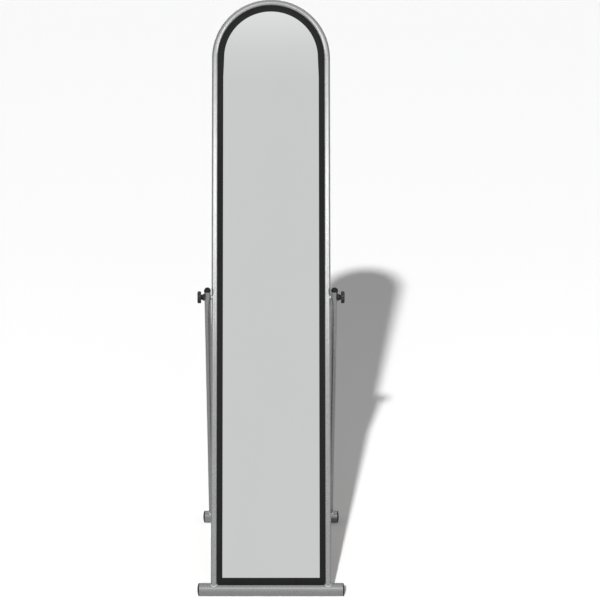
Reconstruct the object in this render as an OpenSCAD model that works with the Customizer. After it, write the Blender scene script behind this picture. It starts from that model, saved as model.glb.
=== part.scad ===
// Arched floor mirror on a folding tube stand.
//
// Millimetres. X runs across the mirror, Z is up and the mirror faces -Y.
// The floor is Z = 0, and the origin is the middle of the footprint.
// The mirror frame and the rear stand are each drawn upright in a frame of
// their own, and then leant over about the X axis.

/* [Mirror frame] */
// Outside width of the arched frame
frame_w = 298; // [240:1:400]
// Front bar's axis to the outside of the arch's crown, along the frame
frame_reach = 1482; // [1200:1:1800]
// Outside diameter of the frame's tube
tube_d = 16; // [14:0.5:22]
// Wall of the frame's tube
tube_wall = 1.2; // [0.8:0.1:2]
// Frame's tube ahead of the front bar's axis
leg_ahead = 6; // [0:0.5:7]
// Lean of the mirror back from upright, degrees
lean = 22.3; // [10:0.1:30]

/* [Bars] */
// Free length of each bar past the frame, on either side, over its end caps
bar_over = 33.5; // [25:0.5:80]
// Outside diameter of the bars
bar_d = 32; // [28:0.5:40]
// Wall of the bars
bar_wall = 1.5; // [1:0.1:3]
// Flat rim of a bar cap outside its tube
cap_rim = 1.8; // [0.5:0.1:3]
// Rise of a bar cap's dome over its rim
cap_dome = 2.9; // [1:0.1:6]
// Depth of a bar cap's plug in the tube
cap_plug = 16; // [8:1:25]
// Wall of the plastic plugs
plug_wall = 2; // [1:0.1:3]
// Width of the weld beads
weld = 2; // [1:0.1:3]

/* [Panel] */
// Thickness of the mirror glass
glass_t = 3; // [2:0.1:5]
// Thickness of the bonding tape
tape_t = 0.8; // [0.5:0.1:2]
// Width of a strip of bonding tape
tape_w = 25; // [10:1:40]
// Distance between strips of bonding tape
tape_pitch = 80; // [45:1:95]
// Bottom of the glass to the bottom of the tape
tape_inset = 40; // [10:1:200]
// Thickness of the backing board
board_t = 3; // [2:0.1:6]

/* [Edge trim] */
// Wall of the trim
trim_t = 1.5; // [1:0.1:2]
// Front face of the trim ahead of the frame tube's axis
trim_ahead = 5.5; // [4:0.1:7]
// Trim's front edge lapping over the frame tube's inner flank
trim_lap = 1.1; // [0:0.1:2]
// Width of the trim's face at the sides
trim_face = 13.7; // [12:0.1:20]
// Trim's front edge lapping over the frame tube along the arch
arch_lap = 0.3; // [0:0.1:2]
// Width of the trim's face over the arch
arch_face = 15; // [12:0.1:20]
// Length in which the trim's face widens below the arch
arch_blend = 50; // [20:1:120]
// Height of the trim's face along the bottom
trim_sill = 18; // [14:0.1:30]
// Radius of the trim's two bottom corners
trim_corner = 7; // [2:0.5:12]
// Height of the butt joints above the front bar's axis
trim_joint = 1021; // [700:1:1150]
// Width of the butt joints
joint_gap = 0.4; // [0.1:0.1:1]

/* [Panel fixings] */
// Lugs up each side
lug_n = 3; // [2:1:5]
// End lugs from the front bar's axis and from the foot of the arch
lug_inset = 130; // [60:1:300]
// Height of a lug
lug_w = 16; // [10:1:30]
// Length of a lug inside the frame tube
lug_len = 18; // [12:1:30]
// Thickness of a lug
lug_t = 1.5; // [1:0.1:2]
// Shank diameter of a panel screw
screw_d = 3.5; // [2.5:0.1:4.5]
// Head diameter of a panel screw
screw_head_d = 7; // [5.5:0.1:9]
// Head height of a panel screw
screw_head_h = 2.2; // [1.5:0.1:3]
// Bite of a panel screw into the backing board
screw_bite = 2.6; // [1:0.1:2.9]

/* [Rear stand] */
// Lean of the arms forward from upright, degrees
spread = 13.8; // [8:0.1:25]
// Outside diameter of the arms
arm_d = 16; // [14:0.5:22]
// Wall of the arms
arm_wall = 1.2; // [0.8:0.1:2]
// Space between an arm and the frame tube
arm_gap = 1.8; // [1.5:0.1:6]
// Arm's tube past the pivot
arm_top = 18.8; // [10:0.1:30]
// Diameter of the ball caps
ball_d = 17.8; // [17:0.1:26]
// Height of the ball caps over the arm's end
ball_h = 8.7; // [6:0.1:20]
// Depth of a ball cap's plug in the arm
ball_plug = 6; // [3:0.1:7]

/* [Clamps] */
// Height of the pivot above the front bar's axis, along the frame
pivot_at = 726; // [500:1:900]
// Outside diameter of a pivot boss
boss_d = 12; // [10:0.5:13]
// Depth of a boss past the frame tube's axis
boss_deep = 2.8; // [0:0.1:3]
// Diameter of a clamp's stud
stud_d = 6; // [5:0.5:8]
// Stud's reach into its boss
stud_bite = 11; // [6:0.5:13]
// Diameter of a clamp washer
washer_d = 18.2; // [14:0.5:26]
// Thickness of a clamp washer
washer_t = 1; // [0.6:0.1:3]
// Diameter of a knob's neck at the washer
neck_foot_d = 18.2; // [12:0.5:24]
// Diameter of a knob's neck at the head
neck_d = 11.2; // [9:0.1:20]
// Length of a knob's neck
neck_len = 6.9; // [4:0.1:15]
// Diameter of a knob's head
knob_d = 30; // [24:0.5:45]
// Thickness of a knob's head
knob_t = 9; // [6:0.1:16]
// Chamfer round a knob's head
knob_chamfer = 1; // [0.4:0.1:2]
// Grip flutes round a knob's head
flute_n = 8; // [5:1:12]
// Radius of a grip flute
flute_r = 3; // [1.5:0.1:4]
// Depth of a grip flute
flute_deep = 1.8; // [0.5:0.1:3]
// Solid plastic left over the stud in a knob's head
knob_skin = 4; // [1:0.1:6]

/* [Clearances] */
// Trim to the tubes that it is seated between
seat_gap = 0.3; // [0.1:0.05:1]
// Glass and board to the trim's web
groove_gap = 0.2; // [0.1:0.05:1]
// Plug to the inside of its tube
plug_gap = 0.1; // [0.02:0.01:0.3]
// Faces of a clamp to the round flank of the arm
clamp_gap = 0.3; // [0.2:0.05:0.6]
// Stud to its hole through the arm, on the radius
pivot_gap = 0.2; // [0.05:0.01:0.4]
// Stud to its thread in boss and knob, on the radius
thread_gap = 0.05; // [0.02:0.01:0.2]
// Screw to its hole through the lug and trim, on the radius
screw_gap = 0.25; // [0.1:0.05:0.5]

/* [Hidden] */
$fn = 64;
EPS = 0.01;
CUT = 5;

SILVER = [0.66, 0.67, 0.68];
STEEL = [0.55, 0.56, 0.58];
BLACK = [0.07, 0.07, 0.07];
DARK = [0.14, 0.14, 0.14];
GLASS = [0.80, 0.82, 0.84];
BOARD = [0.42, 0.29, 0.18];
FOAM = [0.85, 0.85, 0.80];

tube_r = tube_d / 2;
arm_r = arm_d / 2;
bar_r = bar_d / 2;
tube_x = frame_w / 2 - tube_r;
arch_z = frame_reach - frame_w / 2;
tube_y = -leg_ahead;
inner_x = tube_x - tube_r;
bar_len = frame_w + 2 * bar_over;
bar_tube_len = bar_len - 2 * (cap_rim + cap_dome);

// The panel's layers, from the front lip to the back lip
trim_front = tube_y - trim_ahead;
glass_front = trim_front + trim_t;
tape_front = glass_front + glass_t;
board_front = tape_front + tape_t;
board_back = board_front + board_t;
trim_back = board_back + trim_t;

trim_x = inner_x + trim_lap;
arch_x = inner_x + arch_lap;
trim_z = sqrt(pow(bar_r + seat_gap, 2) - pow(trim_front, 2));
window_x = trim_x - trim_face;
arch_window_x = arch_x - arch_face;
window_z = trim_z + trim_sill;
groove_x = inner_x - seat_gap - trim_t;
groove_z = bar_r + seat_gap + trim_t;
glass_x = groove_x - groove_gap;
glass_z = groove_z + groove_gap;
lip_x = (window_x + groove_x) / 2;
weld_hole_r = tube_r + weld + seat_gap;

// The stand's place follows the frame's lean and its own
pivot_up = pivot_at * cos(lean) + leg_ahead * sin(lean);
pivot_back = pivot_at * sin(lean) - leg_ahead * cos(lean);
arm_len = pivot_up / cos(spread);
rear_back = pivot_back + arm_len * sin(spread);
crown_back = (frame_reach - tube_r) * sin(lean) - leg_ahead * cos(lean);
back_edge = max(rear_back + bar_r, crown_back + tube_r);
bar_y = (bar_r - back_edge) / 2;

arm_x = frame_w / 2 + arm_gap + arm_r;
boss_in = tube_x - boss_deep;
boss_out = arm_x - arm_r - clamp_gap;
washer_in = arm_x + arm_r + clamp_gap;
neck_in = washer_in + washer_t;
head_in = neck_in + neck_len;
head_out = head_in + knob_t;
stud_in = boss_out - stud_bite;
stud_out = head_out - knob_skin;

echo(arm_len = arm_len);
echo(bar_y = bar_y);
echo(pivot_y = bar_y + pivot_back);
echo(pivot_z = bar_r + pivot_up);
echo(rear_bar_y = bar_y + rear_back);

// ---- frames of reference ----

module in_frame() {
  translate([0, bar_y, bar_r]) rotate([-lean, 0, 0]) children();
}

module at_frame_pivot() {
  in_frame() translate([0, tube_y, pivot_at]) children();
}

module in_stand() {
  translate([0, bar_y + pivot_back, bar_r + pivot_up]) rotate([spread, 0, 0]) children();
}

module to_side(side) {
  mirror([side < 0 ? 1 : 0, 0, 0]) children();
}

// ---- shared shapes ----

// Solid cylinder along X, from x0 to x1
module along_x(r, x0, x1) {
  translate([x0, 0, 0]) rotate([0, 90, 0]) cylinder(r = r, h = x1 - x0);
}

// The frame tube's centre line, swept with radius r
module frame_path(r) {
  for (side = [-1, 1])
    translate([side * tube_x, tube_y, 0]) cylinder(r = r, h = arch_z);
  translate([0, tube_y, arch_z]) rotate([90, 0, 0])
    rotate_extrude(angle = 180) translate([tube_x, 0]) circle(r = r);
}

// Arched slab of the panel, from height z0 to the arch and from y0 to y1
module slab(half, z0, y0, y1) {
  translate([-half, y0, z0]) cube([2 * half, y1 - y0, arch_z - z0]);
  arched_end(half, y0, y1);
}

module arched_end(half, y0, y1) {
  translate([0, y1, arch_z]) rotate([90, 0, 0])
    rotate_extrude(angle = 180) square([half, y1 - y0]);
}

// The same, drawn in to arch_half on its way up to the arch
module drawn_in_slab(half, arch_half, z0, y0, y1) {
  foot = arch_z - arch_blend;
  translate([0, y1, 0]) rotate([90, 0, 0]) linear_extrude(height = y1 - y0) polygon([
    [-half, z0], [half, z0], [half, foot], [arch_half, arch_z], [-arch_half, arch_z], [-half, foot]
  ]);
  arched_end(arch_half, y0, y1);
}

module bar_tube() {
  difference() {
    along_x(bar_r, -bar_tube_len / 2, bar_tube_len / 2);
    along_x(bar_r - bar_wall, -bar_tube_len / 2 - CUT, bar_tube_len / 2 + CUT);
  }
}

// Plug with a rim and a shallow dome, its rim's inner face at z = 0
module bar_cap() {
  plug_r = bar_r - bar_wall - plug_gap;
  dome_r = (bar_r * bar_r + cap_dome * cap_dome) / (2 * cap_dome);
  difference() {
    union() {
      intersection() {
        translate([0, 0, cap_rim + cap_dome - dome_r]) sphere(r = dome_r, $fn = 160);
        cylinder(r = bar_r, h = bar_d);
      }
      translate([0, 0, -cap_plug]) cylinder(r = plug_r, h = cap_plug);
    }
    translate([0, 0, -cap_plug - CUT])
      cylinder(r = plug_r - plug_wall, h = cap_plug + CUT - plug_wall);
  }
}

module bar_cap_at(side) {
  to_side(side) translate([bar_tube_len / 2, 0, 0]) rotate([0, 90, 0]) bar_cap();
}

// Bead round the foot of a tube of radius r that stands on a bar
module weld_bead(r) {
  difference() {
    intersection() {
      cylinder(r = r + weld, h = bar_d);
      along_x(bar_r + weld, -bar_d, bar_d);
    }
    translate([0, 0, -CUT]) cylinder(r = r, h = bar_d + 2 * CUT);
    children();
  }
}

// ---- mirror frame ----

module frame_tube() {
  color(SILVER) in_frame() difference() {
    frame_path(tube_r);
    frame_path(tube_r - tube_wall);
    along_x(bar_r, -frame_w, frame_w);
    for (side = [-1, 1])
      to_side(side) translate([0, tube_y, pivot_at]) along_x(boss_d / 2, tube_x, boss_out + CUT);
  }
}

module front_bar() {
  color(SILVER) in_frame() bar_tube();
}

module front_cap_left() {
  color(BLACK) in_frame() bar_cap_at(-1);
}

module front_cap_right() {
  color(BLACK) in_frame() bar_cap_at(1);
}

module front_welds() {
  color(SILVER) in_frame() for (side = [-1, 1])
    translate([side * tube_x, tube_y, 0]) weld_bead(tube_r)
      translate([0, -tube_y, 0]) along_x(bar_r, -bar_len, bar_len);
}

module pivot_boss(side) {
  color(STEEL) at_frame_pivot() to_side(side) difference() {
    along_x(boss_d / 2, boss_in, boss_out);
    along_x(stud_d / 2 + thread_gap, boss_in - CUT, boss_out + CUT);
  }
}

module pivot_boss_left() {
  pivot_boss(-1);
}

module pivot_boss_right() {
  pivot_boss(1);
}

module mirror_glass() {
  color(GLASS) in_frame() slab(glass_x, glass_z, glass_front, tape_front);
}

module bonding_tape() {
  color(FOAM) in_frame() for (i = [-1, 0, 1])
    translate([i * tape_pitch - tape_w / 2, tape_front, glass_z + tape_inset])
      cube([tape_w, tape_t, arch_z - glass_z - tape_inset]);
}

module backing_board() {
  color(BOARD) in_frame() difference() {
    slab(glass_x, glass_z, board_front, board_back);
    at_lugs() panel_screw_hole(screw_d / 2);
  }
}

module trim_ring() {
  difference() {
    drawn_in_slab(trim_x, arch_x, trim_z, trim_front, trim_back);
    drawn_in_slab(window_x, arch_window_x, window_z, trim_front - CUT, trim_back + CUT);
    slab(groove_x, groove_z, glass_front, board_back);
    frame_path(tube_r + seat_gap);
    along_x(bar_r + seat_gap, -frame_w, frame_w);
    for (side = [-1, 1]) {
      translate([side * tube_x, tube_y, 0])
        cylinder(r = weld_hole_r, h = bar_r + weld + seat_gap);
      to_side(side) trim_corner_cut();
    }
    at_lugs() panel_screw_hole(screw_d / 2 + screw_gap);
  }
}

module trim_corner_cut() {
  deep = trim_back - trim_front + 2 * CUT;
  translate([trim_x - trim_corner, trim_back + CUT, trim_z + trim_corner]) rotate([90, 0, 0])
    difference() {
      translate([0, -trim_corner - CUT, 0]) cube([trim_corner + CUT, trim_corner + CUT, deep]);
      translate([0, 0, -CUT]) cylinder(r = trim_corner, h = deep + 2 * CUT);
    }
}

module trim_upper() {
  color(DARK) in_frame() intersection() {
    trim_ring();
    translate([-frame_w, trim_front - CUT, trim_joint + joint_gap / 2])
      cube([2 * frame_w, trim_back - trim_front + 2 * CUT, frame_reach]);
  }
}

module trim_lower() {
  color(DARK) in_frame() intersection() {
    trim_ring();
    translate([-frame_w, trim_front - CUT, -CUT])
      cube([2 * frame_w, trim_back - trim_front + 2 * CUT, trim_joint - joint_gap / 2 + CUT]);
  }
}

// Both sides' fixing points, on the middle of the trim's back lip
module at_lugs() {
  for (side = [-1, 1], i = [0 : lug_n - 1])
    to_side(side) translate([lip_x, 0, lug_inset + i * (arch_z - 2 * lug_inset) / (lug_n - 1)])
      children();
}

module panel_screw_hole(r) {
  translate([0, trim_back + CUT, 0]) rotate([90, 0, 0])
    cylinder(r = r, h = CUT + trim_t + screw_bite);
}

module panel_lugs() {
  color(STEEL) in_frame() difference() {
    at_lugs() translate([inner_x - lug_len - lip_x, trim_back, -lug_w / 2])
      cube([lug_len + tube_r, lug_t, lug_w]);
    at_lugs() translate([0, lug_t, 0]) panel_screw_hole(screw_d / 2 + screw_gap);
    frame_path(tube_r);
  }
}

module panel_screws() {
  color(STEEL) in_frame() at_lugs() {
    translate([0, trim_back + lug_t + screw_head_h, 0]) rotate([90, 0, 0])
      cylinder(r = screw_head_d / 2, h = screw_head_h);
    translate([0, trim_back + lug_t + EPS, 0]) rotate([90, 0, 0])
      cylinder(r = screw_d / 2, h = lug_t + trim_t + screw_bite + EPS);
  }
}

// ---- rear stand ----

module arm(side) {
  color(SILVER) in_stand() difference() {
    translate([side * arm_x, 0, -arm_len]) cylinder(r = arm_r, h = arm_len + arm_top);
    translate([side * arm_x, 0, -arm_len - CUT])
      cylinder(r = arm_r - arm_wall, h = arm_len + arm_top + 2 * CUT);
    translate([0, 0, -arm_len]) along_x(bar_r, -bar_len, bar_len);
    to_side(side) along_x(stud_d / 2 + pivot_gap, boss_out, neck_in);
  }
}

module arm_left() {
  arm(-1);
}

module arm_right() {
  arm(1);
}

module rear_bar() {
  color(SILVER) in_stand() translate([0, 0, -arm_len]) bar_tube();
}

module rear_cap_left() {
  color(BLACK) in_stand() translate([0, 0, -arm_len]) bar_cap_at(-1);
}

module rear_cap_right() {
  color(BLACK) in_stand() translate([0, 0, -arm_len]) bar_cap_at(1);
}

module rear_welds() {
  color(SILVER) in_stand() for (side = [-1, 1])
    translate([side * arm_x, 0, -arm_len]) weld_bead(arm_r) along_x(bar_r, -bar_len, bar_len);
}

// Part of a ball on the arm's end, flat where it sits on the tube
module ball_cap(side) {
  color(BLACK) in_stand() translate([side * arm_x, 0, arm_top]) {
    intersection() {
      translate([0, 0, ball_h - ball_d / 2]) sphere(r = ball_d / 2);
      translate([-ball_d, -ball_d, 0]) cube([2 * ball_d, 2 * ball_d, 2 * ball_d]);
    }
    translate([0, 0, -ball_plug]) cylinder(r = arm_r - arm_wall - plug_gap, h = ball_plug);
  }
}

module ball_cap_left() {
  ball_cap(-1);
}

module ball_cap_right() {
  ball_cap(1);
}

// ---- clamps ----

module washer(side) {
  color(DARK) in_stand() to_side(side) difference() {
    along_x(washer_d / 2, washer_in, neck_in);
    along_x(stud_d / 2 + pivot_gap, washer_in - CUT, neck_in + CUT);
  }
}

module knob(side) {
  knob_r = knob_d / 2;
  color(BLACK) in_stand() to_side(side) difference() {
    union() {
      translate([neck_in, 0, 0]) rotate([0, 90, 0])
        cylinder(r1 = neck_foot_d / 2, r2 = neck_d / 2, h = neck_len);
      translate([head_in, 0, 0]) rotate([0, 90, 0]) rotate_extrude() polygon([
        [0, 0], [knob_r - knob_chamfer, 0], [knob_r, knob_chamfer],
        [knob_r, knob_t - knob_chamfer], [knob_r - knob_chamfer, knob_t], [0, knob_t]
      ]);
    }
    for (i = [0 : flute_n - 1])
      rotate([(i + 0.5) * 360 / flute_n, 0, 0]) translate([0, knob_r - flute_deep + flute_r, 0])
        along_x(flute_r, head_in - EPS, head_out + CUT);
    along_x(stud_d / 2 + thread_gap, neck_in - CUT, stud_out);
  }
}

module stud(side) {
  color(STEEL) in_stand() to_side(side) along_x(stud_d / 2, stud_in, stud_out);
}

module washer_left() {
  washer(-1);
}

module knob_left() {
  knob(-1);
}

module stud_left() {
  stud(-1);
}

module washer_right() {
  washer(1);
}

module knob_right() {
  knob(1);
}

module stud_right() {
  stud(1);
}

frame_tube();
front_bar();
front_cap_left();
front_cap_right();
front_welds();
pivot_boss_left();
pivot_boss_right();
mirror_glass();
bonding_tape();
backing_board();
trim_upper();
trim_lower();
panel_lugs();
panel_screws();
arm_left();
arm_right();
rear_bar();
rear_cap_left();
rear_cap_right();
rear_welds();
ball_cap_left();
ball_cap_right();
washer_left();
knob_left();
stud_left();
washer_right();
knob_right();
stud_right();
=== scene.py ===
from math import atan2, cos, hypot, pi, radians, sin, sqrt

import bmesh
import bpy
from mathutils import Matrix, Vector


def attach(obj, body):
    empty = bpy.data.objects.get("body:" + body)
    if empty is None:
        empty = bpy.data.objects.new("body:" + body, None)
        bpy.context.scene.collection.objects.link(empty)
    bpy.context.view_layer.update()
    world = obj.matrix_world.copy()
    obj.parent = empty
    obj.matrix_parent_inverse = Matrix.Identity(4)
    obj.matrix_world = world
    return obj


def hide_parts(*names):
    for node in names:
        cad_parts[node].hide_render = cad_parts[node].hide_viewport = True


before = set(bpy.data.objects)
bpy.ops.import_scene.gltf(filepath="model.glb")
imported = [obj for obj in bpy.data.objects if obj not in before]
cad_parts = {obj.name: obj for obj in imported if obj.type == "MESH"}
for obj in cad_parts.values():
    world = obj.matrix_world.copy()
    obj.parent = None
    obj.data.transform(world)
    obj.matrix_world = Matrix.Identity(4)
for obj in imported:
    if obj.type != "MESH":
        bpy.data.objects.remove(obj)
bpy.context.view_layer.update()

# ---- Frame tube ----
# Round steel tube, bent to an arch over the top and welded to a thicker bar
# at the floor. It is sprayed with a silver-grey metallic lacquer that has a
# fine orange peel, and shows its flakes from close by.

BAR_R = 0.016
BAR_Y = -0.272884
LEAN = radians(22.3)
TUBE_R = 0.008
TUBE_X = 0.141
TUBE_Y = -0.006
ARCH_Z = 1.333
ARCH_LEN = pi * TUBE_X
ARCH_STEPS = 120

# The frame leans back, and its sizes run along the lean from the front bar
IN_FRAME = Matrix.Translation((0, BAR_Y, BAR_R)) @ Matrix.Rotation(-LEAN, 4, "X")


class Shade:
    """A socket of a finish. Sums on it add Math nodes."""

    def __init__(self, finish, socket):
        self.finish = finish
        self.socket = socket

    def sum(self, operation, a, b):
        return self.finish.add("ShaderNodeMath", {"operation": operation}, {0: a, 1: b})

    def __add__(self, other):
        return self.sum("ADD", self, other)

    def __radd__(self, other):
        return self.sum("ADD", other, self)

    def __sub__(self, other):
        return self.sum("SUBTRACT", self, other)

    def __rsub__(self, other):
        return self.sum("SUBTRACT", other, self)

    def __mul__(self, other):
        return self.sum("MULTIPLY", self, other)

    def __rmul__(self, other):
        return self.sum("MULTIPLY", other, self)

    def __pow__(self, other):
        return self.sum("POWER", self, other)

    def over(self, other):
        return self.sum("GREATER_THAN", self, other)

    def most(self, other):
        return self.sum("MAXIMUM", self, other)

    def sine(self):
        return self.sum("SINE", self, 0.0)


class Finish:
    """A material, or the world, and the nodes that make its look."""

    def __init__(self, name, tree=None):
        self.material = None
        if tree is None:
            self.material = bpy.data.materials.new(name)
            self.material.use_nodes = True
            tree = self.material.node_tree
        self.tree = tree
        tree.nodes.clear()
        self.coordinates = {}

    @staticmethod
    def pick(sockets, key):
        named = [s for s in sockets if key in (s.identifier, s.name)]
        return sockets[key] if isinstance(key, int) else named[0]

    def add(self, kind, settings=None, sockets=None, output=0):
        node = self.tree.nodes.new(kind)
        for key, value in (settings or {}).items():
            if key == "stops":
                ramp = node.color_ramp.elements
                ramp.remove(ramp[1])
                for position, tone in value:
                    stop = ramp[0] if position == value[0][0] else ramp.new(position)
                    stop.position = position
                    stop.color = (*tone, 1) if isinstance(tone, tuple) else (tone,) * 3 + (1,)
            else:
                setattr(node, key, value)
        for key, value in (sockets or {}).items():
            socket = self.pick(node.inputs, key)
            if isinstance(value, Shade):
                self.tree.links.new(value.socket, socket)
            elif socket.type == "RGBA":
                socket.default_value = (*value, 1)
            else:
                socket.default_value = value
        return None if output is None else Shade(self, self.pick(node.outputs, output))

    def where(self, output="Object"):
        if output not in self.coordinates:
            self.coordinates[output] = self.add("ShaderNodeTexCoord", output=output)
        return self.coordinates[output]

    def noise(self, scale, detail, roughness, stretch=None, vector=None):
        vector = vector or self.where()
        if stretch:
            vector = self.add("ShaderNodeMapping", {}, {"Vector": vector, "Scale": stretch})
        return self.add("ShaderNodeTexNoise", {}, {
            "Vector": vector, "Scale": scale, "Detail": detail, "Roughness": roughness})

    def cells(self, scale, output="Distance"):
        return self.add("ShaderNodeTexVoronoi", {}, {
            "Vector": self.where(), "Scale": scale}, output)

    def axes(self, vector=None):
        vector = vector or self.where()
        return [self.add("ShaderNodeSeparateXYZ", {}, {"Vector": vector}, axis) for axis in "XYZ"]

    def ramp(self, value, *stops):
        return self.add("ShaderNodeValToRGB", {"stops": stops}, {"Fac": value})

    def step(self, value, low, high):
        return self.add("ShaderNodeMapRange", {"interpolation_type": "SMOOTHSTEP"}, {
            "Value": value, "From Min": low, "From Max": high})

    def blend(self, factor, a, b):
        return self.add("ShaderNodeMix", {"data_type": "RGBA"}, {
            "Factor_Float": factor, "A_Color": a, "B_Color": b}, "Result_Color")

    def bump(self, height, distance, strength, normal=None):
        sockets = {"Height": height, "Distance": distance, "Strength": strength}
        if normal:
            sockets["Normal"] = normal
        return self.add("ShaderNodeBump", {}, sockets)

    def surface(self, **sockets):
        words = {key.replace("_", " ").title(): value for key, value in sockets.items()}
        words = {key.replace("Ior", "IOR"): value for key, value in words.items()}
        shader = self.add("ShaderNodeBsdfPrincipled", {}, words)
        self.add("ShaderNodeOutputMaterial", {}, {"Surface": shader}, None)


SCUFF_UP = 0.0022
SCUFF_FADE = 0.0016
SCUFF_TONE = (0.17, 0.165, 0.16)


def paint(name, dark, light, roughness):
    """Metallic lacquer: flakes, faint clouds, orange peel, and scuffs where it stands."""
    finish = Finish(name)
    flakes = finish.cells(2400, "Color")
    flake = finish.axes(flakes)[0]
    cloud = finish.noise(9, 3, 0.6)
    peel = finish.noise(330, 2, 0.5)
    tone = finish.blend(flake * 0.45 + cloud * 0.55, dark, light)
    rough = roughness + (peel - 0.5) * 0.05 + (flake - 0.5) * 0.04
    height = finish.axes()[2]
    scuff = finish.noise(55, 5, 0.7, stretch=(0.35, 1, 1))
    worn = finish.step(scuff, 0.5, 0.62) * finish.step(SCUFF_UP - height, 0, SCUFF_FADE)
    tone = finish.blend(worn * 0.8, tone, SCUFF_TONE)
    rough = rough + worn * 0.3
    scratch = finish.step(finish.noise(700, 1, 0.3, stretch=(0.04, 1, 1)), 0.72, 0.8)
    rough = rough + scratch * 0.06
    grain = finish.bump(flake, 0.000004, 0.5)
    finish.surface(base_color=tone, metallic=0.88, roughness=rough, coat_weight=0.22,
                   coat_roughness=0.12, normal=finish.bump(peel, 0.00005, 0.35, grain))
    return finish


silver = paint("silver_lacquer", (0.31, 0.312, 0.316), (0.405, 0.407, 0.412), 0.27)


def carry(node, finish):
    """A solid of the frame keeps its shape and takes this finish."""
    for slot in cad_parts[node].material_slots:
        slot.material = finish.material


SAME_POINT = 1e-7


def tidy(bm, crease=35):
    """Merged, closed and smooth, with edges sharper than the crease, in degrees, kept."""
    bmesh.ops.remove_doubles(bm, verts=bm.verts, dist=SAME_POINT)
    bmesh.ops.recalc_face_normals(bm, faces=bm.faces)
    for face in bm.faces:
        face.smooth = True
    for edge in bm.edges:
        edge.smooth = len(edge.link_faces) == 2 and edge.calc_face_angle(0) < radians(crease)
    return bm


def make(name, bm, place, finish, body, slot, *nodes):
    """The shape becomes a piece that stands in place of these nodes."""
    if place.determinant() < 0:
        bmesh.ops.reverse_faces(bm, faces=bm.faces)
    bmesh.ops.transform(bm, matrix=place, verts=bm.verts)
    mesh = bpy.data.meshes.new(name)
    bm.to_mesh(mesh)
    bm.free()
    piece = bpy.data.objects.new(name, mesh)
    bpy.context.scene.collection.objects.link(piece)
    mesh.materials.append(finish.material)
    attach(piece, body)
    if nodes:
        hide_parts(*nodes)
    return piece


SAME_CORNER = 2e-6


def solid_copy(node):
    """The node's solid as one merged mesh, in the leaning frame's own sizes."""
    bm = bmesh.new()
    bm.from_mesh(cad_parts[node].data)
    bmesh.ops.transform(bm, matrix=IN_FRAME.inverted(), verts=bm.verts)
    bmesh.ops.remove_doubles(bm, verts=bm.verts, dist=SAME_CORNER)
    return bm


def rolled_out(bm):
    """The arch is rolled out straight, on from the right leg and on to the left one."""
    for v in bm.verts:
        x, y, z = v.co.x, v.co.y, v.co.z - ARCH_Z
        if z > 0:
            v.co = (hypot(x, z), y, atan2(z, x) * TUBE_X)
        else:
            v.co = (x, y, z) if x > 0 else (-x, y, ARCH_LEN - z)


def cut(bm, point, normal, dist, **more):
    """Edges all round, where the plane through this point meets the shape."""
    bmesh.ops.bisect_plane(bm, geom=bm.verts[:] + bm.edges[:] + bm.faces[:], dist=dist,
                           plane_co=point, plane_no=normal, **more)


def bent(bm):
    """A straight shape is bent round the arch, in fine steps."""
    for step in range(ARCH_STEPS + 1):
        cut(bm, (0, 0, ARCH_LEN * step / ARCH_STEPS), (0, 0, 1), SAME_POINT)
    for v in bm.verts:
        out, y, along = v.co
        if along < 0:
            v.co = (out, y, ARCH_Z + along)
        elif along > ARCH_LEN:
            v.co = (-out, y, ARCH_Z + ARCH_LEN - along)
        else:
            turn = along / TUBE_X
            v.co = (out * cos(turn), y, ARCH_Z + out * sin(turn))


FLAT_WITHIN = radians(0.5)


def flat_joined(bm):
    """Triangles that lie in one face are joined."""
    bmesh.ops.dissolve_limit(bm, angle_limit=FLAT_WITHIN, use_dissolve_boundaries=False,
                             verts=bm.verts, edges=bm.edges, delimit={"NORMAL"})


def from_tube_axis(point):
    """Square out from the frame tube's centre line to the point."""
    over = Vector((point.x, 0, point.z - ARCH_Z))
    if over.z > 0:
        return point - Vector((0, TUBE_Y, ARCH_Z)) - over.normalized() * TUBE_X
    return Vector((point.x - (TUBE_X if point.x > 0 else -TUBE_X), point.y - TUBE_Y, 0))


FACING_OUT = 0.8


def round_shading(bm):
    """The normal of every face corner on the tube, true to its round skin and bore."""
    normals = []
    for face in bm.faces:
        facing = face.normal.dot(from_tube_axis(face.calc_center_median()).normalized())
        for corner in face.verts:
            out = from_tube_axis(corner.co).normalized()
            round_here = out if facing > 0 else -out
            normals.append(round_here if abs(facing) > FACING_OUT else face.normal)
    return [IN_FRAME.to_3x3() @ normal for normal in normals]


tube = solid_copy("frame_tube")
rolled_out(tube)
flat_joined(tube)
bent(tube)
tidy(tube)
shading = round_shading(tube)
tube = make("arched_frame_tube", tube, IN_FRAME, silver, "mirror_frame", "silver_paint",
            "frame_tube")
tube.data.normals_split_custom_set(shading)

# ---- Front bar ----
# The foot of the frame: thick round steel tube laid across under the two legs,
# cut square and open at its ends, in the same lacquer as the frame.

BAR_HALF = 0.1778

carry("front_bar", silver)

# ---- Bar caps ----
# Black moulded polythene plugs, pressed into the ends of both bars. Each has a
# flat rim against the tube, a low dome, and the mark of its gate in the middle.

CAP_RIM = 0.0018
CAP_TOP = 0.0047
CAP_PLUG = 0.016
CAP_PLUG_R = 0.0144
CAP_WALL = 0.002
LEAD_IN = 0.002
LEAD_IN_SLIM = 0.0003
GATE_RIM_R = 0.0019
GATE_R = 0.0016
GATE_DEEP = 0.0003

SIDES = ((-1, "left"), (1, "right"))


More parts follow.
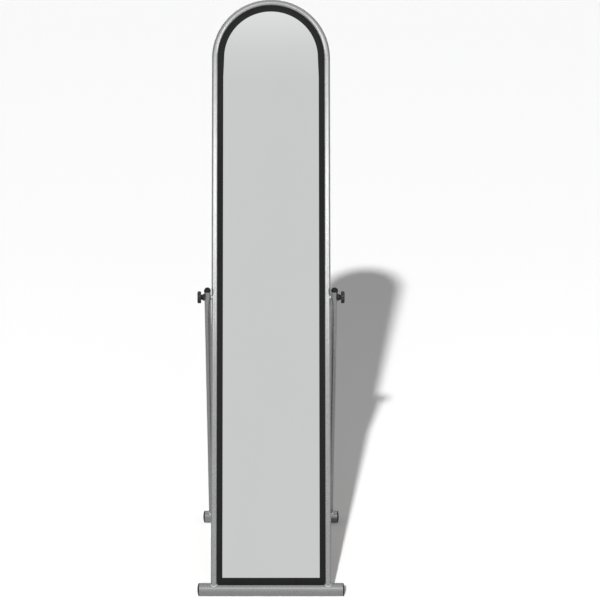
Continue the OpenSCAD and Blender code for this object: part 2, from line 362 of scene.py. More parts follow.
def black_plastic(name, base, roughness, grain=1.0, shine=0.2):
    """Moulded black plastic: spark-eroded grain, and a faint bloom from handling."""
    finish = Finish(name)
    fine = finish.noise(1700, 3, 0.6)
    pits = finish.cells(1100)
    bloom = finish.noise(45, 4, 0.65)
    dust = finish.step(finish.noise(260, 5, 0.7), 0.58, 0.75)
    light = tuple(c * 1.8 + 0.003 for c in base)
    tone = finish.blend(bloom * 0.7 + dust * 0.25, base, light)
    rough = roughness + (bloom - 0.5) * 0.22 + dust * 0.1
    texture = finish.bump(fine * 0.6 + pits * 0.4, 0.00006 * grain, 0.5)
    finish.surface(base_color=tone, roughness=rough, specular_ior_level=shine, normal=texture)
    return finish


cap_plastic = black_plastic("cap_plastic", (0.006, 0.006, 0.0063), 0.40)
SEAM = 1e-6


def turned(profile, steps=96):
    """A profile of (radius, height, rounding) turned about Z."""
    bm = bmesh.new()
    corners = [bm.verts.new((r, 0, z)) for r, z, _ in profile]
    for a, b in zip(corners, corners[1:]):
        bm.edges.new((a, b))
    for corner, (_, _, rounding) in zip(corners, profile):
        if rounding:
            bmesh.ops.bevel(bm, geom=[corner], offset=rounding, offset_type="OFFSET", segments=4,
                            profile=0.5, affect="VERTICES", material=-1)
    bmesh.ops.spin(bm, geom=bm.verts[:] + bm.edges[:], axis=(0, 0, 1), cent=(0, 0, 0),
                   angle=2 * pi, steps=steps, use_merge=True)
    bmesh.ops.remove_doubles(bm, verts=bm.verts, dist=SEAM)
    return bm


def bar_cap():
    """A hollow plug on -Z with its domed cap on +Z."""
    dome_r = (BAR_R ** 2 + (CAP_TOP - CAP_RIM) ** 2) / (2 * (CAP_TOP - CAP_RIM))
    dome = [(BAR_R * k, CAP_TOP - dome_r + sqrt(dome_r ** 2 - (BAR_R * k) ** 2), 0)
            for k in (0.9, 0.75, 0.6, 0.45, 0.3, 0.17)]
    inner = CAP_PLUG_R - CAP_WALL
    profile = [(0, -CAP_WALL, 0), (inner, -CAP_WALL, 0.0006), (inner, -CAP_PLUG, 0.0002),
               (CAP_PLUG_R - LEAD_IN_SLIM, -CAP_PLUG, 0.0002),
               (CAP_PLUG_R, -CAP_PLUG + LEAD_IN, 0.0002), (CAP_PLUG_R, 0, 0),
               (BAR_R - 0.0001, 0, 0.00015), (BAR_R, CAP_RIM, 0.0006)]
    profile += dome
    profile += [(GATE_RIM_R, CAP_TOP - 0.00006, 0), (GATE_R, CAP_TOP - GATE_DEEP, 0.0001),
                (0, CAP_TOP - GATE_DEEP, 0)]
    return tidy(turned(profile), 40)


def bar_cap_place(side, middle):
    """The end of the bar whose middle this is, at one side."""
    across = Matrix.Rotation(side * pi / 2, 4, "Y")
    return middle @ Matrix.Translation((side * BAR_HALF, 0, 0)) @ across


for side, word in SIDES:
    make(f"front_bar_plug_{word}", bar_cap(), bar_cap_place(side, IN_FRAME), cap_plastic,
         "mirror_frame", "black_plastic", f"front_cap_{word}")

# ---- Leg welds ----
# A bead of weld round the foot of each leg, laid down by hand in short pulls,
# which leave its ripples. It is lacquered over with the frame, but its
# lacquer is painted lighter than the frame's, a painted highlight on the bead.

BEAD_R = 0.0019
BEAD_PULLS = 22
BEAD_PINCH = 0.12
BEAD_RISE = 0.16
BEAD_WANDER = 0.04


def weld_bead(offset):
    """A rippled bead where a tube stands on the bar, offset from the bar's middle in Y."""
    bm = bmesh.new()
    section = bmesh.ops.create_circle(bm, segments=12, radius=BEAD_R)["verts"]
    bmesh.ops.rotate(bm, verts=section, matrix=Matrix.Rotation(pi / 2, 3, "X"))
    bmesh.ops.translate(bm, verts=section, vec=(TUBE_R, 0, 0))
    bmesh.ops.spin(bm, geom=bm.verts[:] + bm.edges[:], axis=(0, 0, 1), cent=(0, 0, 0),
                   angle=2 * pi, steps=208, use_merge=True)
    for v in bm.verts:
        turn = atan2(v.co.y, v.co.x)
        middle = Vector((TUBE_R * cos(turn), TUBE_R * sin(turn), 0))
        pull = (turn * BEAD_PULLS / (2 * pi)) % 1
        swell = 1 + BEAD_RISE * sqrt(pull) - BEAD_PINCH + BEAD_WANDER * sin(5 * turn)
        on_bar = sqrt(max(BAR_R ** 2 - (middle.y + offset) ** 2, 0))
        v.co = middle + (v.co - middle) * swell + Vector((0, offset, on_bar))
    return tidy(bm, 60)


def gathered(*shapes):
    """Several shapes, each moved to its place, as one."""
    bm = bmesh.new()
    for shape, place in shapes:
        if place.determinant() < 0:
            bmesh.ops.reverse_faces(shape, faces=shape.faces)
        bmesh.ops.transform(shape, matrix=place, verts=shape.verts)
        mesh = bpy.data.meshes.new("shape")
        shape.to_mesh(mesh)
        shape.free()
        bm.from_mesh(mesh)
        bpy.data.meshes.remove(mesh)
    return bm


def bead_pair(offset, spread_x):
    """The beads of two tubes that stand on one bar, this far out at both sides."""
    return gathered(*[(weld_bead(offset), Matrix.Translation((side * spread_x, 0, 0)))
                      for side, _ in SIDES])


# Lighter than the frame's lacquer: a painted highlight on the weld beads.
weld_lacquer_painted_highlight = paint("lacquered_weld_painted_highlight", (0.55, 0.552, 0.556), (0.72, 0.722, 0.727), 0.24)
make("leg_weld_beads", bead_pair(TUBE_Y, TUBE_X), IN_FRAME, weld_lacquer_painted_highlight, "mirror_frame",
     "silver_paint", "front_welds")

# ---- Pivot bosses ----
# Turned steel bushes, let into the outer flank of each leg and welded there.
# The clamp studs screw into them, so their bores stay bare.

PIVOT_AT = 0.726
BOSS_R = 0.006
BOSS_IN = 0.1382
BOSS_OUT = 0.1505
STUD_HOLE_R = 0.00305


def bare_steel(name, dark, light, roughness):
    """Zinc-plated steel: lathe marks, thin clouds in the plating, dull freckles."""
    finish = Finish(name)
    cloud = finish.noise(160, 4, 0.6)
    turning = finish.noise(5200, 1, 0.4, stretch=(1, 0.02, 0.02))
    freckle = finish.step(finish.noise(900, 3, 0.6), 0.6, 0.72)
    tone = finish.blend(cloud, dark, light)
    tone = finish.blend(freckle * 0.35, tone, (0.25, 0.235, 0.21))
    rough = roughness + (cloud - 0.5) * 0.15 + freckle * 0.2
    finish.surface(base_color=tone, metallic=1.0, roughness=rough,
                   normal=finish.bump(turning, 0.00002, 0.4))
    return finish


zinc = bare_steel("zinc_plated_steel", (0.50, 0.50, 0.49), (0.66, 0.66, 0.67), 0.34)


def boss():
    """A bush about the middle of its length."""
    half = (BOSS_OUT - BOSS_IN) / 2
    return tidy(turned([(STUD_HOLE_R, -half, 0.0003), (BOSS_R, -half, 0.0004),
                        (BOSS_R, half, 0.0004), (STUD_HOLE_R, half, 0.0003),
                        (STUD_HOLE_R, -half, 0.0)], 64), 40)


for side, word in SIDES:
    place = (IN_FRAME @ Matrix.Translation((side * (BOSS_IN + BOSS_OUT) / 2, TUBE_Y, PIVOT_AT))
             @ Matrix.Rotation(side * pi / 2, 4, "Y"))
    make(f"stud_bush_{word}", boss(), place, zinc, "mirror_frame", "bare_steel",
         f"pivot_boss_{word}")

# ---- Panel lugs ----
# Small tabs of steel strip welded inside the frame tube, three up each side,
# with a clearance hole for the screw that holds the panel. Lacquered as one
# with the frame.

LUG_AT = [0.130, 0.6665, 1.203]
LUG_X = 0.1258
LUG_END = 0.1150
LUG_TUBE = 0.1348
LUG_HALF = 0.008
LUG_T = 0.0015
LUG_Y = -0.0017
LUG_HOLE_R = 0.002
LUG_CORNER = 0.003
LUG_BEAD_R = 0.0011
LUG_BEAD_X = 0.1353
LUG_BEAD_SHORT = 0.001
LUG_BEAD_STEPS = 36
LUG_BEAD_SWELLS = (1.05, 1.03, 0.98, 0.943)


def verts_of(geom):
    return [g for g in geom if isinstance(g, bmesh.types.BMVert)]


def lug():
    """One tab, flat in X and Z with its thickness along Y."""
    bm = bmesh.new()
    outline = [bm.verts.new(p) for p in ((LUG_END, 0, -LUG_HALF), (LUG_TUBE, 0, -LUG_HALF),
                                         (LUG_TUBE, 0, LUG_HALF), (LUG_END, 0, LUG_HALF))]
    for a, b in zip(outline, outline[1:] + outline[:1]):
        bm.edges.new((a, b))
    bmesh.ops.bevel(bm, geom=[outline[0], outline[3]], offset=LUG_CORNER,
                    offset_type="OFFSET", segments=6, profile=0.5, affect="VERTICES", material=-1)
    hole = bmesh.ops.create_circle(bm, segments=24, radius=LUG_HOLE_R)["verts"]
    bmesh.ops.rotate(bm, verts=hole, matrix=Matrix.Rotation(pi / 2, 3, "X"))
    bmesh.ops.translate(bm, verts=hole, vec=(LUG_X, 0, 0))
    bmesh.ops.triangle_fill(bm, use_beauty=True, use_dissolve=False, edges=bm.edges[:])
    raised = bmesh.ops.extrude_face_region(bm, geom=bm.faces[:])["geom"]
    bmesh.ops.translate(bm, verts=verts_of(raised), vec=(0, LUG_T, 0))
    return tidy(bm, 30)


def lug_weld():
    """A short rippled bead between a tab and the tube."""
    bm = bmesh.new()
    ring = bmesh.ops.create_circle(bm, cap_ends=True, segments=10, radius=LUG_BEAD_R)["verts"]
    bmesh.ops.translate(bm, verts=ring, vec=(0, 0, -LUG_HALF + LUG_BEAD_SHORT))
    length = 2 * LUG_HALF - 2 * LUG_BEAD_SHORT
    end = bm.faces[:]
    for step in range(LUG_BEAD_STEPS):
        grown = bmesh.ops.extrude_face_region(bm, geom=end)["geom"]
        end = [g for g in grown if isinstance(g, bmesh.types.BMFace)]
        verts = verts_of(grown)
        bmesh.ops.translate(bm, verts=verts, vec=(0, 0, length / LUG_BEAD_STEPS))
        swell = LUG_BEAD_SWELLS[step % 4]
        middle = sum((v.co for v in verts), Vector()) / len(verts)
        bmesh.ops.scale(bm, verts=verts, vec=(swell, swell, 1), space=Matrix.Translation(-middle))
    bmesh.ops.translate(bm, verts=bm.verts, vec=(LUG_BEAD_X, LUG_T, 0))
    return tidy(bm, 60)


def at_lugs():
    """The places of the six tabs, the left ones mirrored."""
    for side, _ in SIDES:
        for up in LUG_AT:
            yield Matrix.Scale(side, 4, (1, 0, 0)) @ Matrix.Translation((0, LUG_Y, up))


tabs = gathered(*[(shape(), place) for place in at_lugs() for shape in (lug, lug_weld)])
make("panel_tabs", tabs, IN_FRAME, silver, "mirror_frame", "silver_paint", "panel_lugs")

# ---- Edge trim ----
# Black PVC channel, pushed round the edge of the glass and its board in two
# lengths that meet at butt joints up each side. Its front lip laps a little
# over the frame tube.

TRIM_ROUNDING = 0.00035
TRIM_CREASE = radians(40)

# Back from where the trim stands to the frame's own upright sizes
TO_UPRIGHT = Matrix.Rotation(LEAN, 4, "X") @ Matrix.Translation((0, -BAR_Y, -BAR_R))


def softened(bm):
    """Sharp edges are rounded, as the die leaves them."""
    flat_joined(bm)
    sharp = [e for e in bm.edges if len(e.link_faces) == 2
             and e.calc_face_angle(0) > TRIM_CREASE]
    bmesh.ops.bevel(bm, geom=sharp, offset=TRIM_ROUNDING, offset_type="OFFSET", segments=2,
                    profile=0.5, affect="EDGES", clamp_overlap=True, material=-1)


def extruded_pvc(name):
    """Soft PVC: drawn lines along its length, a satin skin, and rubbed patches."""
    finish = Finish(name)
    local = finish.add("ShaderNodeMapping", {}, {
        "Vector": finish.where(), "Rotation": (LEAN, 0, 0),
        "Location": TO_UPRIGHT.translation - Vector((0, 0, ARCH_Z))})
    x, y, z = finish.axes(local)
    rise = z.most(0.0)
    out = (x * x + rise * rise) ** 0.5
    lines = finish.noise(2100, 2, 0.5, vector=finish.add(
        "ShaderNodeCombineXYZ", {}, {"X": out, "Y": y, "Z": z * 0.012}))
    skin = finish.noise(1500, 3, 0.6)
    cloud = finish.noise(14, 3, 0.6)
    rub = finish.step(finish.noise(120, 5, 0.7), 0.56, 0.74)
    tone = finish.blend(cloud * 0.6 + rub * 0.4, (0.0045, 0.0045, 0.0048), (0.010, 0.010, 0.0104))
    rough = 0.43 + (cloud - 0.5) * 0.16 + rub * 0.08
    finish.surface(base_color=tone, roughness=rough, specular_ior_level=0.15,
                   normal=finish.bump(lines * 0.7 + skin * 0.3, 0.00007, 0.5))
    return finish


pvc = extruded_pvc("black_pvc_trim")
over_arch = solid_copy("trim_upper")
rolled_out(over_arch)
softened(over_arch)
bent(over_arch)
trim_over_arch = make("edge_trim_over_arch", tidy(over_arch), IN_FRAME, pvc, "mirror_frame",
                      "black_trim", "trim_upper")
below = solid_copy("trim_lower")
softened(below)
trim_below = make("edge_trim_below", tidy(below), IN_FRAME, pvc, "mirror_frame", "black_trim",
                  "trim_lower")

# ---- Mirror glass ----
# Three-millimetre float glass, cut to the arch, silvered on its back and
# sealed there with grey paint. Its ground edge shows green where the trim
# leaves it bare.


def silvered_glass(name):
    """A mirror from the front, ground green glass at its edge and paint behind."""
    finish = Finish(name)
    out = finish.add("ShaderNodeVectorMath", {"operation": "DOT_PRODUCT"}, {
        0: finish.where("Normal"), 1: (0, -cos(LEAN), sin(LEAN))}, "Value")
    front = out.over(0.7)
    back = (out * -1.0).over(0.7)
    smear = finish.noise(5, 4, 0.6, stretch=(1, 1, 0.4))
    specks = finish.step(finish.noise(420, 2, 0.5), 0.7, 0.76)
    silver_tone = finish.blend(smear, (0.84, 0.845, 0.85), (0.87, 0.872, 0.875))
    rest = finish.blend(back, (0.12, 0.24, 0.19), (0.24, 0.245, 0.25))
    tone = finish.blend(front, rest, silver_tone)
    rough = (1 - front) * 0.42 + front * (0.012 + smear * 0.012 + specks * 0.01)
    finish.surface(base_color=tone, metallic=front, roughness=rough)
    return finish


mirror = silvered_glass("silvered_glass")
carry("mirror_glass", mirror)

# ---- Bonding tape ----
# Strips of white double-sided foam tape up the middle of the panel, which hold
# the glass to its board, and keep the pieces together if it breaks.


def foam(name):
    """White foam: open cells, a little yellowed in clouds."""
    finish = Finish(name)
    cells = finish.cells(1400)
    cloud = finish.noise(60, 3, 0.6)
    tone = finish.blend(cells * 0.6 + cloud * 0.4, (0.70, 0.70, 0.66), (0.86, 0.86, 0.83))
    finish.surface(base_color=tone, roughness=0.8 + (cloud - 0.5) * 0.2,
                   normal=finish.bump(cells, 0.0002, 0.6))
    return finish


carry("bonding_tape", foam("white_foam_tape"))

# ---- Backing board ----
# Brown hardboard, sawn to the same arch as the glass, with the mesh of the
# press on the side that shows behind.


def hardboard(name):
    """Pressed wood fibre: flecks at two scales, water clouds, and the press's mesh."""
    finish = Finish(name)
    fleck = finish.noise(620, 6, 0.75, stretch=(1, 1, 0.55))
    fibre = finish.noise(210, 5, 0.7, stretch=(1, 1, 0.3))
    cloud = finish.noise(7, 4, 0.6)
    local = finish.add("ShaderNodeMapping", {}, {
        "Vector": finish.where(), "Rotation": (LEAN, 0, 0)})
    x, _, z = finish.axes(local)
    weave = ((x * 3500).sine() + (z * 3500).sine()) * 0.25 + 0.5
    tone = finish.ramp(fleck * 0.55 + fibre * 0.45,
                       (0.25, (0.065, 0.032, 0.016)), (0.5, (0.165, 0.088, 0.043)),
                       (0.75, (0.30, 0.18, 0.095)))
    tone = finish.blend(cloud * 0.45, tone, (0.12, 0.062, 0.032))
    rough = 0.7 + (fleck - 0.5) * 0.25
    finish.surface(base_color=tone, roughness=rough, specular_ior_level=0.35,
                   normal=finish.bump(weave * 0.7 + fleck * 0.3, 0.0002, 0.55))
    return finish


carry("backing_board", hardboard("brown_hardboard"))

# ---- Panel screws ----
# Zinc-plated pan head screws with a cross recess, driven through the tabs and
# the trim's back lip into the board.

SCREW_HEAD_R = 0.0035
SCREW_HEAD_H = 0.0022
SCREW_R = 0.00175
SCREW_LEN = 0.0056
SCREW_TOP_R = 0.0024
CROSS_REACH = 0.0017
CROSS_HALF = 0.00045
CROSS_DEEP = 0.0013
CROSS_TAPER = 0.72
FINE = 1e-8


def open_edges(bm):
    return [e for e in bm.edges if e.is_boundary]


def grown_rings(bm, rings):
    """The open edge is drawn out ring by ring, to each (radius, height)."""
    for radius, height in rings:
        grown = bmesh.ops.extrude_edge_only(bm, edges=open_edges(bm))["geom"]
        for v in verts_of(grown):
            reach = hypot(v.co.x, v.co.y)
            v.co = Vector((v.co.x * radius / reach, v.co.y * radius / reach, height))


def panel_screw():
    """Head up along +Z, its underside at Z = 0."""
    bm = bmesh.new()
    bmesh.ops.create_circle(bm, cap_ends=True, segments=48, radius=SCREW_TOP_R)
    bmesh.ops.translate(bm, verts=bm.verts, vec=(0, 0, SCREW_HEAD_H))
    for normal in ((1, 0, 0), (0, 1, 0)):
        for reach in (-CROSS_REACH, -CROSS_HALF, CROSS_HALF, CROSS_REACH):
            cut(bm, Vector(normal) * reach, normal, FINE)
    cross = [f for f in bm.faces
             if min(abs(c) for c in f.calc_center_median()[:2]) < CROSS_HALF
             and max(abs(c) for c in f.calc_center_median()[:2]) < CROSS_REACH]
    sunk = bmesh.ops.extrude_face_region(bm, geom=cross)["geom"]
    bmesh.ops.delete(bm, geom=cross, context="FACES_ONLY")
    bottom = verts_of(sunk)
    bmesh.ops.translate(bm, verts=bottom, vec=(0, 0, -CROSS_DEEP))
    bmesh.ops.scale(bm, verts=bottom, vec=(CROSS_TAPER, CROSS_TAPER, 1))
    grown_rings(bm, [(0.0029, 0.00206), (0.0033, 0.0017), (SCREW_HEAD_R, 0.0012),
                     (SCREW_HEAD_R, 0.0001), (SCREW_HEAD_R - 0.0001, 0), (SCREW_R, 0),
                     (SCREW_R, -SCREW_LEN + 0.0014), (0.0001, -SCREW_LEN)])
    bmesh.ops.contextual_create(bm, geom=open_edges(bm))
    return tidy(bm, 30)


# Each was driven until it was tight, so that no two crosses stand alike
FIRST_CROSS = 23
NEXT_CROSS = 31

to_back = Matrix.Translation((LUG_X, LUG_T, 0)) @ Matrix.Rotation(-pi / 2, 4, "X")
screws = [(panel_screw(), place @ to_back
           @ Matrix.Rotation(radians(FIRST_CROSS + NEXT_CROSS * i), 4, "Z"))
          for i, place in enumerate(at_lugs())]
make("panel_fixing_screws", gathered(*screws), IN_FRAME, zinc, "mirror_frame", "bare_steel",
     "panel_screws")

# ---- Rear stand ----
# Two arms of the frame's tube, welded onto a second foot bar behind. The
# stand hangs on the clamp studs, and swings about them to fold flat.

PIVOT_Y = -0.00295
PIVOT_Z = 0.689979
SPREAD = radians(13.8)
ARM_X = 0.1588
ARM_LEN = 0.694012
ARM_TOP = 0.0188

IN_STAND = Matrix.Translation((0, PIVOT_Y, PIVOT_Z)) @ Matrix.Rotation(SPREAD, 4, "X")
REAR_BAR = IN_STAND @ Matrix.Translation((0, 0, -ARM_LEN))

for node in ("arm_left", "arm_right", "rear_bar"):
    carry(node, silver)

for side, word in SIDES:
    make(f"rear_bar_plug_{word}", bar_cap(), bar_cap_place(side, REAR_BAR), cap_plastic,
         "rear_stand", "black_plastic", f"rear_cap_{word}")

# The beads take the weld lacquer, painted lighter than the frame's as a painted highlight.
make("arm_weld_beads", bead_pair(0, ARM_X), REAR_BAR, weld_lacquer_painted_highlight, "rear_stand",
     "silver_paint", "rear_welds")

# ---- Ball caps ----
# Black moulded plugs with a round head, pressed into the tops of the arms,
# each with its flat foot on the tube's end.

BALL_R = 0.0089
BALL_RISE = 0.0087
BALL_PLUG = 0.006
BALL_PLUG_R = 0.0067
BALL_RINGS = 20


def ball_cap():
    """A short plug on -Z with its ball on +Z."""
    middle = BALL_RISE - BALL_R
    low = atan2(-middle, sqrt(BALL_R ** 2 - middle ** 2))
    turns = [low + (pi / 2 - low) * k / BALL_RINGS for k in range(1, BALL_RINGS)]
    dome = [(BALL_R * cos(t), middle + BALL_R * sin(t), 0) for t in turns]
    foot = BALL_R * cos(low)
    profile = [(0, -BALL_PLUG, 0), (BALL_PLUG_R - 0.0004, -BALL_PLUG, 0.0003),
               (BALL_PLUG_R, -BALL_PLUG + 0.0015, 0.0003), (BALL_PLUG_R, 0, 0),
               (foot, 0, 0.0002)] + dome + [(0, BALL_RISE, 0)]
    return tidy(turned(profile), 40)


ball_plastic = black_plastic("ball_plastic", (0.0025, 0.0025, 0.0026), 0.36)
for side, word in SIDES:
    place = IN_STAND @ Matrix.Translation((side * ARM_X, 0, ARM_TOP))
    make(f"arm_ball_{word}", ball_cap(), place, ball_plastic, "rear_stand", "black_plastic",
         f"ball_cap_{word}")

# ---- Clamp washers ----
# Black nylon washers between knob and arm, which spare the lacquer and let
# the knob pull up tight.

WASHER_IN = 0.1671
NECK_IN = 0.1681
WASHER_R = 0.0091
WASHER_HOLE_R = 0.0032


def washer():
    """A flat ring from Z = 0 up."""
    thick = NECK_IN - WASHER_IN
    return tidy(turned([(WASHER_HOLE_R, 0, 0.0002), (WASHER_R, 0, 0.00025),
                        (WASHER_R, thick, 0.00025), (WASHER_HOLE_R, thick, 0.0002),
                        (WASHER_HOLE_R, 0, 0)], 80), 50)


def out_at(side, x):
    """Along a clamp's axis, outwards from x, at one side."""
    return (IN_STAND @ Matrix.Translation((side * x, 0, 0))
            @ Matrix.Rotation(side * pi / 2, 4, "Y"))


nylon = black_plastic("nylon_washer", (0.008, 0.008, 0.0083), 0.5, 0.6)
for side, word in SIDES:
    make(f"clamp_washer_{word}", washer(), out_at(side, WASHER_IN), nylon, f"{word}_washer",
         "black_plastic", f"washer_{word}")

# ---- Clamp studs ----
# M6 steel studs, moulded into their knobs. They pass through the arms and
# screw into the bosses on the frame.

STUD_R = 0.003
STUD_IN = 0.1395
STUD_OUT = 0.1800
THREAD = 0.001
THREAD_DEEP = 0.00058
THREAD_STEPS = 32


def stud():
    """A threaded rod along +Z, wound as one helix and cut square at both ends."""
    root, crest = STUD_R - THREAD_DEEP, STUD_R - 0.00002
    tooth = [(root, 0.0), (root, 0.0001), (crest, 0.00043), (crest, 0.00057), (root, 0.0009),
             (root, THREAD)]
    bm = bmesh.new()
    verts = [bm.verts.new((r, 0, z)) for r, z in tooth]
    for a, b in zip(verts, verts[1:]):
        bm.edges.new((a, b))
    length = STUD_OUT - STUD_IN
    turns = int(length / THREAD) + 3
    bmesh.ops.spin(bm, geom=bm.verts[:] + bm.edges[:], axis=(0, 0, 1), cent=(0, 0, 0),
                   dvec=(0, 0, THREAD / THREAD_STEPS), angle=2 * pi * turns,
                   steps=THREAD_STEPS * turns)
    bmesh.ops.translate(bm, verts=bm.verts, vec=(0, 0, -1.5 * THREAD))
    bmesh.ops.remove_doubles(bm, verts=bm.verts, dist=SEAM)
    for end, out in ((0, -1), (length, 1)):
        cut(bm, (0, 0, end), (0, 0, out), FINE, clear_outer=True)
        rim = [e for e in open_edges(bm) if all(abs(v.co.z - end) < SEAM for v in e.verts)]
        bmesh.ops.contextual_create(bm, geom=rim)
    return tidy(bm, 25)


for side, word in SIDES:
    make(f"clamp_stud_{word}", stud(), out_at(side, STUD_IN), zinc, f"{word}_knob", "bare_steel",
         f"stud_{word}")

# ---- Clamp knobs ----
# Black moulded knobs with eight finger flutes, a tapered neck towards the
# arm, and a dished face with the mark of the gate. Turned by hand to clamp
# or free the stand.

KNOB_R = 0.015
NECK_FOOT_R = 0.0091
NECK_R = 0.0056
NECK_LEN = 0.0069
KNOB_T = 0.009
KNOB_BORE = 0.0119
KNOB_CHAMFER = 0.001
DISH_R = 0.0093
DISH_FLOOR_R = 0.0089
DISH_DEEP = 0.0006
DISH_MIDDLE_DEEP = 0.0008
STUB_R = 0.0016
STUB_TOP_R = 0.0014
STUB_DEEP = 0.0005
FLUTES = 8
FLUTE_R = 0.003
FLUTE_DEEP = 0.0018
FLUTE_FROM_R = 0.0105
FLUTE_DRAFT = 0.8
FLUTE_SOFT = 0.0005


def knob():
    """A knob on +Z, the foot of its neck at Z = 0, turned and then fluted."""
    head, face = NECK_LEN, NECK_LEN + KNOB_T
    slim = KNOB_R - KNOB_CHAMFER
    profile = [(0, KNOB_BORE, 0), (STUD_HOLE_R, KNOB_BORE, 0), (STUD_HOLE_R, 0, 0.0003),
               (NECK_FOOT_R, 0, 0.0004), (NECK_R, head, 0.0009), (slim, head, 0.0003),
               (KNOB_R, head + KNOB_CHAMFER, 0.0005), (KNOB_R, face - KNOB_CHAMFER, 0.0005),
               (slim, face, 0.0005), (DISH_R, face, 0.0003),
               (DISH_FLOOR_R, face - DISH_DEEP, 0.0002), (0.003, face - DISH_MIDDLE_DEEP, 0),
               (STUB_R, face - DISH_MIDDLE_DEEP, 0.0001), (STUB_TOP_R, face - STUB_DEEP, 0.0001),
               (0, face - STUB_DEEP, 0)]
    bm = turned(profile, 192)
    middle = KNOB_R - FLUTE_DEEP + FLUTE_R
    for v in bm.verts:
        reach = hypot(v.co.x, v.co.y)
        if reach < FLUTE_FROM_R or v.co.z < head - SEAM:
            continue
        turn = atan2(v.co.y, v.co.x) % (2 * pi / FLUTES) - pi / FLUTES
        chord = FLUTE_R ** 2 - (middle * sin(turn)) ** 2
        if chord <= 0:
            continue
        wall = middle * cos(turn) - sqrt(chord) - (KNOB_R - reach) * FLUTE_DRAFT
        near = max(FLUTE_SOFT - abs(reach - wall), 0) / FLUTE_SOFT
        held = min(reach, wall) - near * near * FLUTE_SOFT / 4
        v.co.x *= held / reach
        v.co.y *= held / reach
    return tidy(bm, 40)


knob_plastic = black_plastic("knob_plastic", (0.007, 0.007, 0.0073), 0.26, 0.7, 0.4)
for side, word in SIDES:
    make(f"clamp_knob_{word}", knob(), out_at(side, NECK_IN), knob_plastic, f"{word}_knob",
         "black_plastic", f"knob_{word}")

# ---- Studio ----
# A pale floor that runs off into white, and a low sun from the front left
# that throws the shadow. Long soft strips across the front and small lamps at
# the sides and close to the frame draw the highlights along the tubes.

FLOOR_HALF = 40
FLOOR_TONE = 0.93
FLOOR_MIRRORED = 0.40
FLOOR_LIFT = 0.05

scene = bpy.context.scene
scene.view_settings.view_transform = "Standard"

bm = bmesh.new()
bmesh.ops.create_grid(bm, x_segments=1, y_segments=1, size=FLOOR_HALF)
mesh = bpy.data.meshes.new("floor")
bm.to_mesh(mesh)
bm.free()
floor = bpy.data.objects.new("floor", mesh)
scene.collection.objects.link(floor)

paper = Finish("white_floor")
in_gloss = paper.add("ShaderNodeLightPath", output="Is Glossy Ray")
seen = paper.add("ShaderNodeLightPath", output="Is Camera Ray").most(in_gloss).most(
    paper.add("ShaderNodeLightPath", output="Is Transmission Ray"))
matt = paper.add("ShaderNodeBsdfDiffuse", {}, {
    "Color": paper.blend(in_gloss, (FLOOR_TONE,) * 3, (FLOOR_MIRRORED,) * 3)})
lift = paper.add("ShaderNodeEmission", {}, {"Color": (1, 1, 1), "Strength": seen * FLOOR_LIFT})
both = paper.add("ShaderNodeAddShader", {}, {0: matt, 1: lift})
paper.add("ShaderNodeOutputMaterial", {}, {"Surface": both}, None)
floor.data.materials.append(paper.material)

AMBIENT = 0.22
AROUND_DIM = 0.5

world = bpy.data.worlds.new("studio")
world.use_nodes = True
scene.world = world
room = Finish("studio", world.node_tree)
camera_ray = room.add("ShaderNodeLightPath", output="Is Camera Ray")
mirrored = room.add("ShaderNodeLightPath", output="Is Glossy Ray").most(
    room.add("ShaderNodeLightPath", output="Is Transmission Ray"))
_, north, up = room.axes(room.where("Generated"))
# What gloss and glass see in front of the object, from the floor's level up
front = room.ramp(up * 0.5 + 0.5, (0.0, 0.60), (0.5, 0.62), (0.64, 0.685), (0.7742, 0.685),
                  (0.780, 0.724), (0.7832, 0.764), (0.7867, 0.823), (0.7886, 0.866),
                  (0.795, 0.90), (0.83, 0.76), (1.0, 0.66))
# Beside and behind the object the room is dimmer, but not overhead
around = room.step(north, -0.45, -0.05) * (1 - room.step(up, 0.45, 0.9))
grey = front * (1 - around * AROUND_DIM)
strength = camera_ray + (1 - camera_ray) * (mirrored * grey + (1 - mirrored) * AMBIENT)
background = room.add("ShaderNodeBackground", {}, {"Color": (1, 1, 1), "Strength": strength})
room.add("ShaderNodeOutputWorld", {}, {"Surface": background}, None)


def lamp(name, kind, place, power, **settings):
    """A lamp that lights the scene and isn't seen itself."""
    data = bpy.data.lights.new(name, kind)
    data.energy = power
    for key, value in settings.items():
        setattr(data, key, value)
    light = bpy.data.objects.new(name, data)
    light.matrix_world = place
    light.visible_camera = False
    scene.collection.objects.link(light)
    return light


def aimed(place, target):
    """From this place, turned towards the target."""
    turn = (Vector(target) - Vector(place)).to_track_quat("-Z", "Y")
    return Matrix.Translation(place) @ turn.to_matrix().to_4x4()


def soft_box(name, place, target, power, wide, tall):
    return lamp(name, "AREA", aimed(place, target), power, shape="RECTANGLE", size=wide,
                size_y=tall)


KEY_LEFT = radians(9.5)
KEY_AWAY = 4.25
KEY_UP = 2.62
KEY_POWER = 4.45
KEY_ACROSS = radians(1.8)

key_from = Vector((-sin(KEY_LEFT), -cos(KEY_LEFT), 0)) * KEY_AWAY + Vector((0, 0, KEY_UP))
key = lamp("key", "SUN", aimed(key_from, (0, 0, 0)), KEY_POWER, angle=KEY_ACROSS)
key.visible_glossy = False

# Place, power, width and height of each strip. All face the middle of the glass.
MIDDLE = (0, 0.087, 0.892)
strip, strip_over_bars, strip_middle = [
    soft_box(name, place, MIDDLE, *sizes) for name, place, *sizes in (
        ("strip", (0, -2.4, 2.62), 22.0, 9.0, 1.0),
        ("strip_over_bars", (0, -2.514, 2.387), 11.0, 9.0, 0.35),
        ("strip_middle", (0, -2.514, 2.387), 6.0, 2.0, 0.35))]

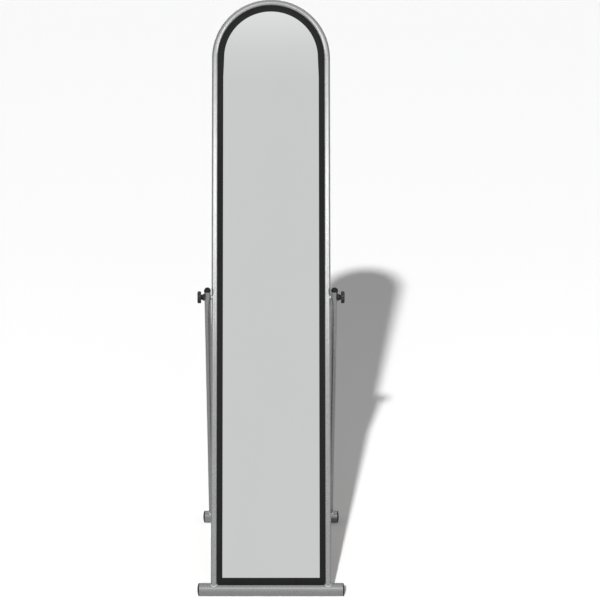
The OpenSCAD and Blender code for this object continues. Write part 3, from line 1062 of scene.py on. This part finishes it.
# Place, target, power, width and height of the lamps on the right, and of the
# one in front of the glass. The left ones mirror the right.
SIDE_LAMPS = (
    ("low", (2.74, -1.4, 1.3), (0.14, 0.05, 0.6), 2.5, 1.1, 1.5),
    ("top", (2.74, -1.4, 2.0), (0.14, 0.05, 0.9), 4.5, 1.1, 0.5),
    ("rim", (0.28, -0.13, 1.02), (0, 0.09, 0.91), 0.12, 0.12, 0.8),
    ("shoulder", (0.8, -1.66, 1.98), (-0.1, 0.25, 1.33), 2.4, 0.5, 0.5))
edge_lamps = [soft_box("near_the_glass", (0, -0.42, 1.11), (0, 0.065, 0.84), 0.42, 0.5, 0.5)]
for side, word in SIDES:
    for part, *ends, power, wide, tall in SIDE_LAMPS:
        place, target = [(side * x, y, z) for x, y, z in ends]
        edge_lamps.append(soft_box(f"{part}_{word}", place, target, power, wide, tall))


def flagged_off(lights, *things):
    """These lamps leave these things alone, as behind a flag on a stand."""
    kept_out = bpy.data.collections.new("flagged_off")
    for thing in things:
        kept_out.objects.link(thing)
    for item in kept_out.collection_objects:
        item.light_linking.link_state = "EXCLUDE"
    for light in lights:
        light.light_linking.receiver_collection = kept_out


# The glass shows only the even grey of the room. The bars have the sun and the
# first strip alone. The lamps at the edges leave out the black trim too, and
# the floor, so that the sun's shadow stays clear.
glass, *bars = [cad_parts[node] for node in ("mirror_glass", "front_bar", "rear_bar")]
flagged_off([key, strip], glass)
flagged_off([strip_over_bars], glass, *bars)
flagged_off([strip_middle], glass, *bars, trim_below)
flagged_off(edge_lamps, glass, *bars, trim_over_arch, trim_below, floor)

# ---- Camera ----
# The photograph is taken from in front and a little above, with a long lens
# that is shifted, so that the mirror stands left of the middle.

CAMERA_AT = (0, -4.573, 2.158)
CAMERA_DIP = 17.89
SENSOR = 36.0
LENS = 115.014
SHIFT = 0.0483
FAR = 200

camera = bpy.data.cameras.new("camera")
camera.sensor_width = SENSOR
camera.lens = LENS
camera.shift_x = SHIFT
camera.clip_end = FAR
view = bpy.data.objects.new("camera", camera)
view.matrix_world = (Matrix.Translation(CAMERA_AT)
                     @ Matrix.Rotation(radians(90 - CAMERA_DIP), 4, "X"))
scene.collection.objects.link(view)
scene.camera = view
